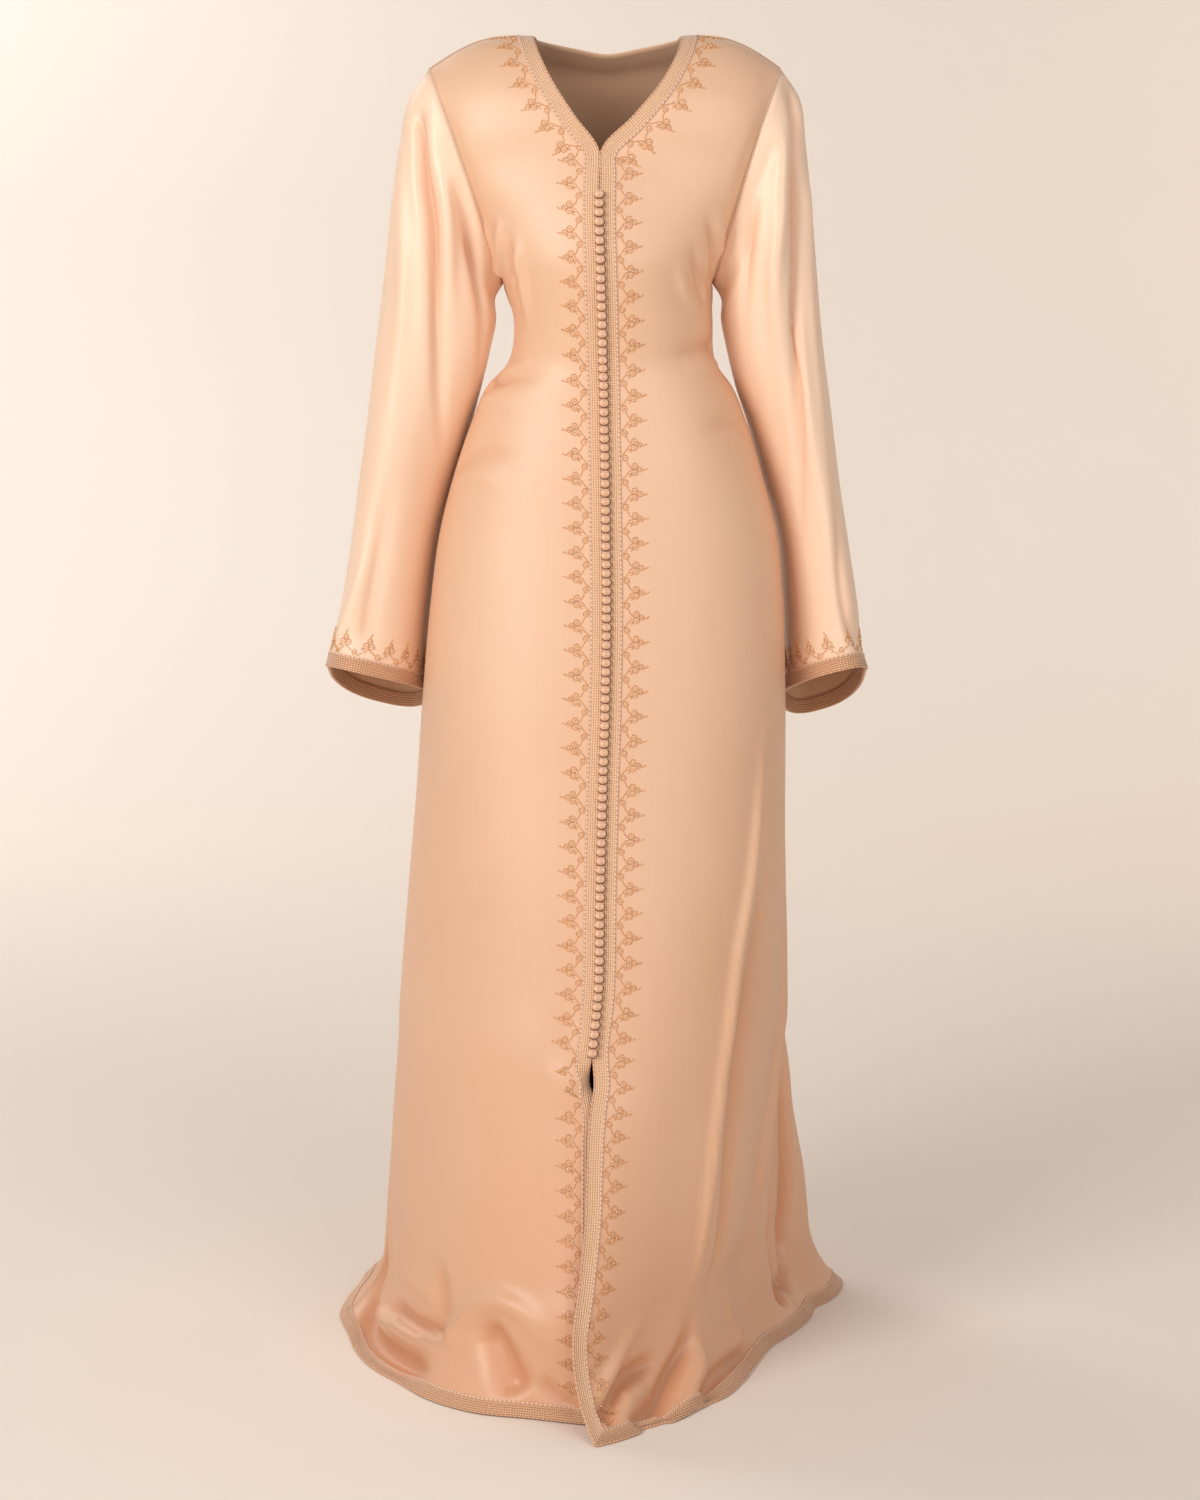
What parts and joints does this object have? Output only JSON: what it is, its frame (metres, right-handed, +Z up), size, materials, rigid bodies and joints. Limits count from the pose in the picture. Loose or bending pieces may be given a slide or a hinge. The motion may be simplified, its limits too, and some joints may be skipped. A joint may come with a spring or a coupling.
{
  "type": "kaftan",
  "caption": "Floor-length satin kaftan with a V neck, long open sleeves, a knotted front closure and braid along its edges, worn and hollow.",
  "frame": {"origin": "midway between the two points where the neck edge meets the shoulder seams, where the wearer's shoulders hold it", "axes": "+Z up, front towards -Y, the wearer's left towards +X"},
  "size_m": [0.603, 0.7019, 1.4492],
  "materials": {
    "satin": "heavy crepe-back satin, peach gold, softly glossy face",
    "satin_back": "matt brown ribbed facing",
    "braid": "rayon braid and cord with a dull metallic thread",
    "knot_cord": "tightly wound rayon cord",
    "beads": "small faceted crystal beads"
  },
  "bodies": {
    "root": {"front_right": "satin", "front_left": "satin", "back": "satin", "sleeve_right": "satin", "cuff_trim_right": "braid", "cuff_facing_right": "satin_back", "sleeve_left": "satin", "cuff_trim_left": "braid", "cuff_facing_left": "satin_back", "front_trim_right": "braid", "front_trim_left": "braid", "neck_trim_back": "braid", "hem_trim_right": "braid", "hem_trim_left": "braid", "hem_trim_back": "braid", "knots_01": "knot_cord", "knots_02": "knot_cord", "knots_03": "knot_cord", "knots_04": "knot_cord", "knots_05": "knot_cord", "knots_06": "knot_cord", "knots_07": "knot_cord", "knots_08": "knot_cord", "knots_09": "knot_cord", "knots_10": "knot_cord", "knots_11": "knot_cord", "knots_12": "knot_cord"}
  },
  "joints": []
}
